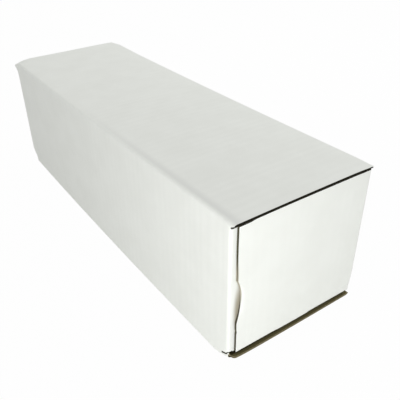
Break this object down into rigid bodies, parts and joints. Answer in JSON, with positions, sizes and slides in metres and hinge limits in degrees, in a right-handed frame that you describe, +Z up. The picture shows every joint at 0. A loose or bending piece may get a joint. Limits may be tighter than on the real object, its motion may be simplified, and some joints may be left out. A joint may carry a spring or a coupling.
{
  "type": "folding shipping box",
  "caption": "Long square corrugated shipping box folded from one sheet, white outside and brown inside, with an end flap hinged on one side at each end.",
  "frame": {"origin": "middle of the base, on the surface that the box stands on", "axes": "+X along the box to its near end, +Z up, +Y to the side that the outer end flaps are hinged on"},
  "size_m": [0.34, 0.108, 0.104],
  "materials": {
    "white_board": "matt white paper face with brown kraft inside and raw edges"
  },
  "bodies": {
    "box": {"folded_carton": "white_board"},
    "near_flap": {"near_end_flap": "white_board"},
    "far_flap": {"far_end_flap": "white_board"}
  },
  "joints": [
    {"name": "near_flap_hinge", "type": "hinge", "parent": "box", "child": "near_flap", "pos_m": [0.16912, 0.05352, 0.052], "axis": [0, 0, 1], "range_deg": [0, 180]},
    {"name": "far_flap_hinge", "type": "hinge", "parent": "box", "child": "far_flap", "pos_m": [-0.16912, 0.05352, 0.052], "axis": [0, 0, -1], "range_deg": [0, 180]}
  ]
}
